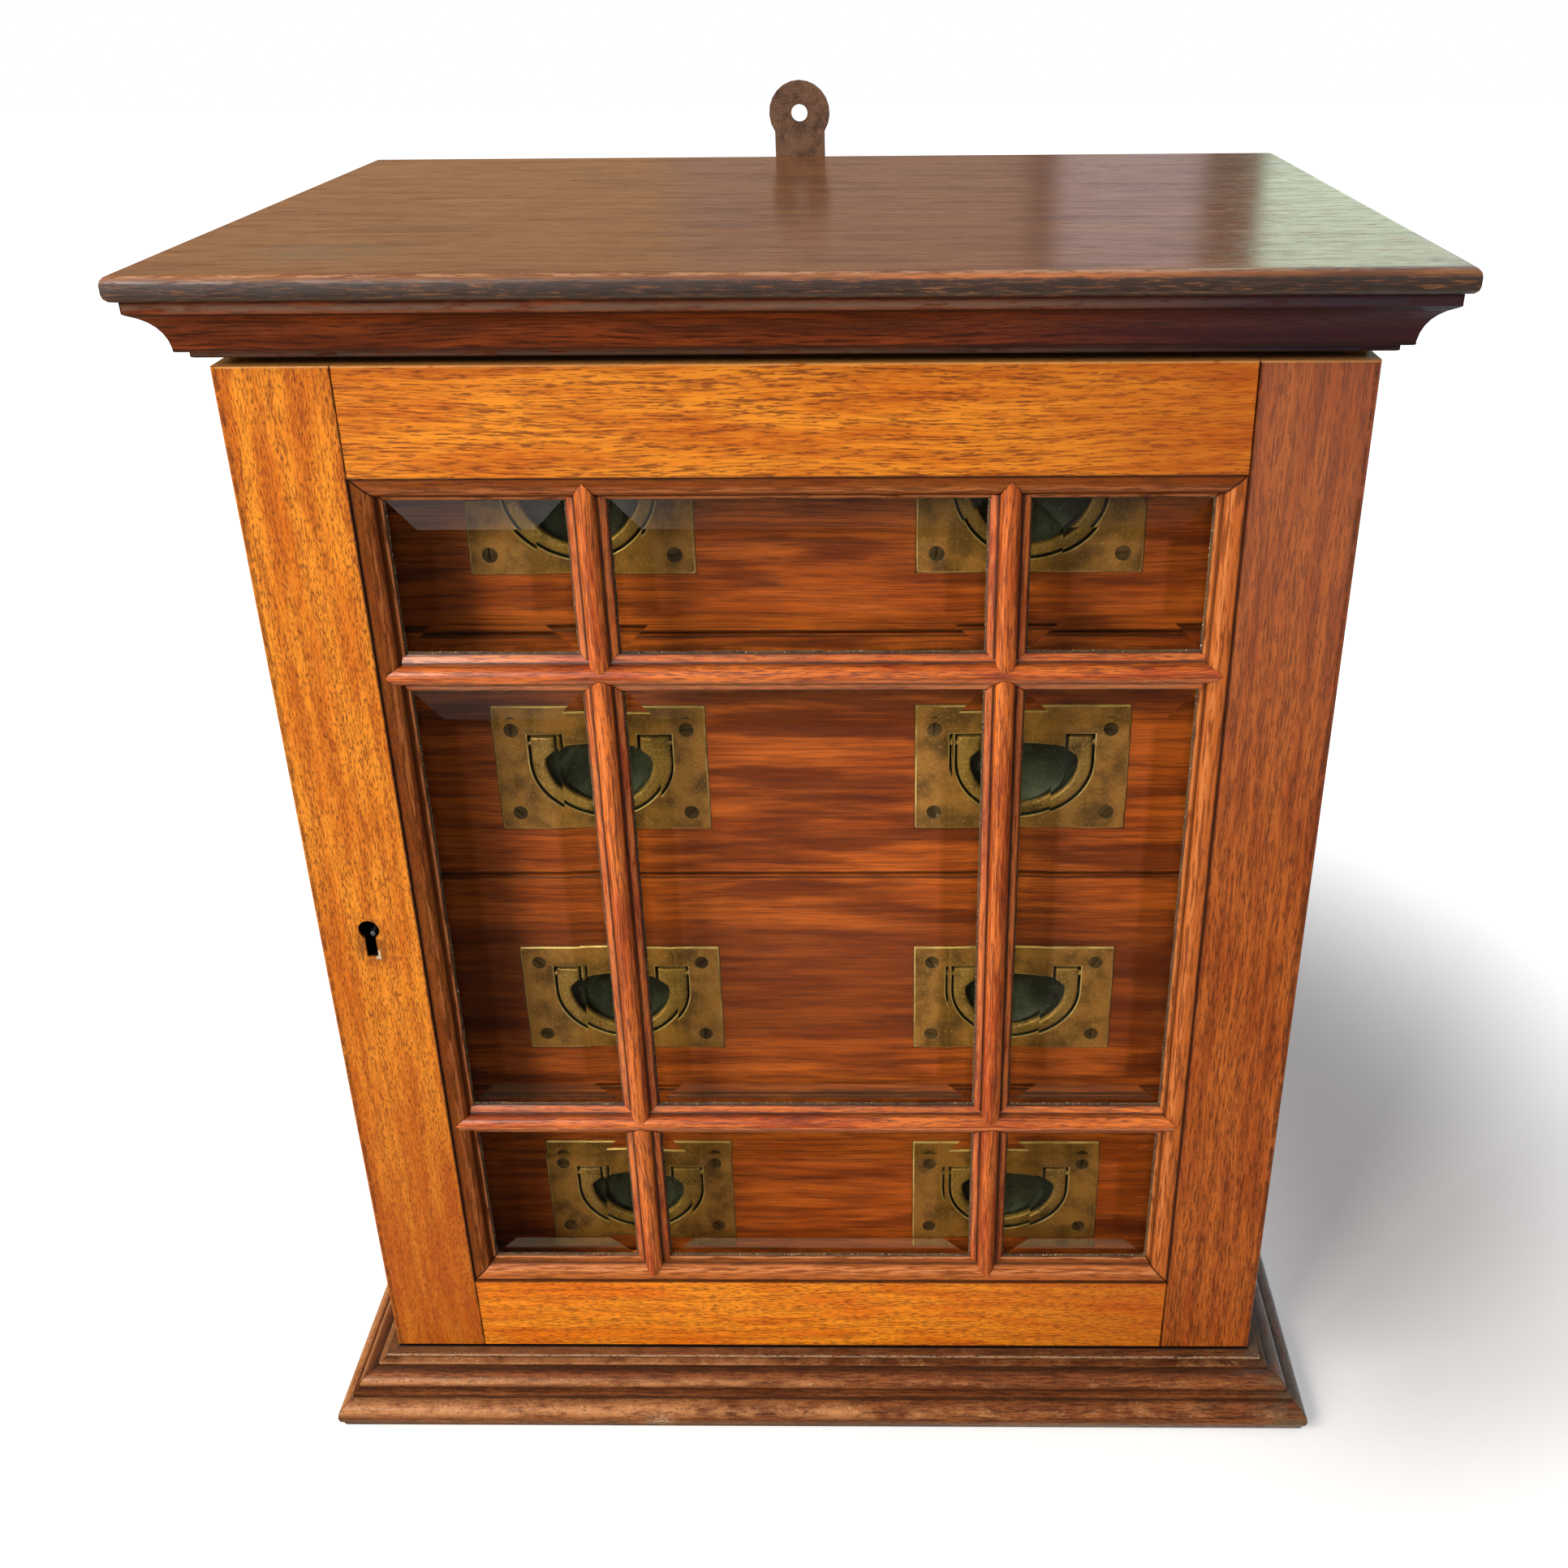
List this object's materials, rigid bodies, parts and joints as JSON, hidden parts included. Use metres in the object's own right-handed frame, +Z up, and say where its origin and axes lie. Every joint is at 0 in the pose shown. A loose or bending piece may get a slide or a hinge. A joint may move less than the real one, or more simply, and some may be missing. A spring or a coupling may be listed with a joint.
{
  "type": "haberdashery cabinet",
  "caption": "Small oak table or wall cabinet with a glazed, lockable door, a coved cornice, a stepped base and a stack of drawers with flush drop handles.",
  "frame": {"origin": "on the surface that the cabinet stands on, under the middle of its overall box", "axes": "+Z up, the glazed door faces -Y, +X to the right of someone who faces the door"},
  "size_m": [0.4632, 0.335, 0.5713],
  "materials": {
    "oak_golden": "waxed golden oak",
    "oak_red": "red-brown stained oak",
    "oak_dark": "dark polished oak",
    "pale_wood": "unpolished, aged",
    "glass": "bevelled, clear",
    "brass": "aged, dull",
    "iron": "brown rust"
  },
  "bodies": {
    "root": {"case_bottom": "pale_wood", "case_side_left": "oak_golden", "case_side_right": "oak_golden", "case_top": "pale_wood", "case_back": "pale_wood", "top_board": "oak_dark", "cornice_front": "oak_dark", "cornice_left": "oak_dark", "cornice_right": "oak_dark", "base_front": "oak_dark", "base_left": "oak_dark", "base_right": "oak_dark", "hanging_lug": "iron", "hinge_upper_case_leaf": "brass", "hinge_lower_case_leaf": "brass"},
    "door": {"door_stile_lock": "oak_golden", "door_stile_hinge": "oak_golden", "door_rail_top": "oak_golden", "door_rail_bottom": "oak_golden", "glazing_bar_upright_left": "oak_red", "glazing_bar_upright_right": "oak_red", "glazing_bar_level_upper": "oak_red", "glazing_bar_level_lower": "oak_red", "glass_upper_left": "glass", "glass_upper_middle": "glass", "glass_upper_right": "glass", "glass_middle_left": "glass", "glass_middle_middle": "glass", "glass_middle_right": "glass", "glass_lower_left": "glass", "glass_lower_middle": "glass", "glass_lower_right": "glass", "hinge_upper_door_leaf": "brass", "hinge_lower_door_leaf": "brass", "lock_case": "brass"},
    "lock_bolt": {"lock_bolt": "brass"},
    "drawer_1": {"drawer_1_front": "oak_red", "drawer_1_box": "pale_wood", "drawer_1_plate_left": "brass", "drawer_1_plate_right": "brass"},
    "drawer_1_bail_left": {"drawer_1_bail_left": "brass"},
    "drawer_1_bail_right": {"drawer_1_bail_right": "brass"},
    "drawer_2": {"drawer_2_front": "oak_red", "drawer_2_box": "pale_wood", "drawer_2_plate_left": "brass", "drawer_2_plate_right": "brass"},
    "drawer_2_bail_left": {"drawer_2_bail_left": "brass"},
    "drawer_2_bail_right": {"drawer_2_bail_right": "brass"},
    "drawer_3": {"drawer_3_front": "oak_red", "drawer_3_box": "pale_wood", "drawer_3_plate_left": "brass", "drawer_3_plate_right": "brass"},
    "drawer_3_bail_left": {"drawer_3_bail_left": "brass"},
    "drawer_3_bail_right": {"drawer_3_bail_right": "brass"},
    "drawer_4": {"drawer_4_front": "oak_red", "drawer_4_box": "pale_wood", "drawer_4_plate_left": "brass", "drawer_4_plate_right": "brass"},
    "drawer_4_bail_left": {"drawer_4_bail_left": "brass"},
    "drawer_4_bail_right": {"drawer_4_bail_right": "brass"}
  },
  "joints": [
    {"name": "door_hinge", "type": "hinge", "parent": "root", "child": "door", "pos_m": [0.2087, -0.1237, 0.2652], "axis": [0, 0, 1], "range_deg": [0, 180]},
    {"name": "lock_bolt_slide", "type": "slide", "parent": "door", "child": "lock_bolt", "axis": [-1, 0, 0], "range_m": [0, 0.005]},
    {"name": "drawer_1_slide", "type": "slide", "parent": "root", "child": "drawer_1", "axis": [0, -1, 0], "range_m": [0, 0.15]},
    {"name": "drawer_1_bail_left_hinge", "type": "hinge", "parent": "drawer_1", "child": "drawer_1_bail_left", "pos_m": [-0.09, -0.09055, 0.4471], "axis": [-1, 0, 0], "range_deg": [0, 90]},
    {"name": "drawer_1_bail_right_hinge", "type": "hinge", "parent": "drawer_1", "child": "drawer_1_bail_right", "pos_m": [0.09, -0.09055, 0.4471], "axis": [-1, 0, 0], "range_deg": [0, 90]},
    {"name": "drawer_2_slide", "type": "slide", "parent": "root", "child": "drawer_2", "axis": [0, -1, 0], "range_m": [0, 0.15]},
    {"name": "drawer_2_bail_left_hinge", "type": "hinge", "parent": "drawer_2", "child": "drawer_2_bail_left", "pos_m": [-0.09, -0.09055, 0.3296], "axis": [-1, 0, 0], "range_deg": [0, 90]},
    {"name": "drawer_2_bail_right_hinge", "type": "hinge", "parent": "drawer_2", "child": "drawer_2_bail_right", "pos_m": [0.09, -0.09055, 0.3296], "axis": [-1, 0, 0], "range_deg": [0, 90]},
    {"name": "drawer_3_slide", "type": "slide", "parent": "root", "child": "drawer_3", "axis": [0, -1, 0], "range_m": [0, 0.15]},
    {"name": "drawer_3_bail_left_hinge", "type": "hinge", "parent": "drawer_3", "child": "drawer_3_bail_left", "pos_m": [-0.09, -0.09055, 0.2121], "axis": [-1, 0, 0], "range_deg": [0, 90]},
    {"name": "drawer_3_bail_right_hinge", "type": "hinge", "parent": "drawer_3", "child": "drawer_3_bail_right", "pos_m": [0.09, -0.09055, 0.2121], "axis": [-1, 0, 0], "range_deg": [0, 90]},
    {"name": "drawer_4_slide", "type": "slide", "parent": "root", "child": "drawer_4", "axis": [0, -1, 0], "range_m": [0, 0.15]},
    {"name": "drawer_4_bail_left_hinge", "type": "hinge", "parent": "drawer_4", "child": "drawer_4_bail_left", "pos_m": [-0.09, -0.09055, 0.0946], "axis": [-1, 0, 0], "range_deg": [0, 90]},
    {"name": "drawer_4_bail_right_hinge", "type": "hinge", "parent": "drawer_4", "child": "drawer_4_bail_right", "pos_m": [0.09, -0.09055, 0.0946], "axis": [-1, 0, 0], "range_deg": [0, 90]}
  ],
  "couplings": [
    {"joint": "drawer_1_slide", "follows": "door_hinge", "m_per_rad": 0.0477},
    {"joint": "drawer_2_slide", "follows": "door_hinge", "m_per_rad": 0.0477},
    {"joint": "drawer_3_slide", "follows": "door_hinge", "m_per_rad": 0.0477},
    {"joint": "drawer_4_slide", "follows": "door_hinge", "m_per_rad": 0.0477}
  ]
}
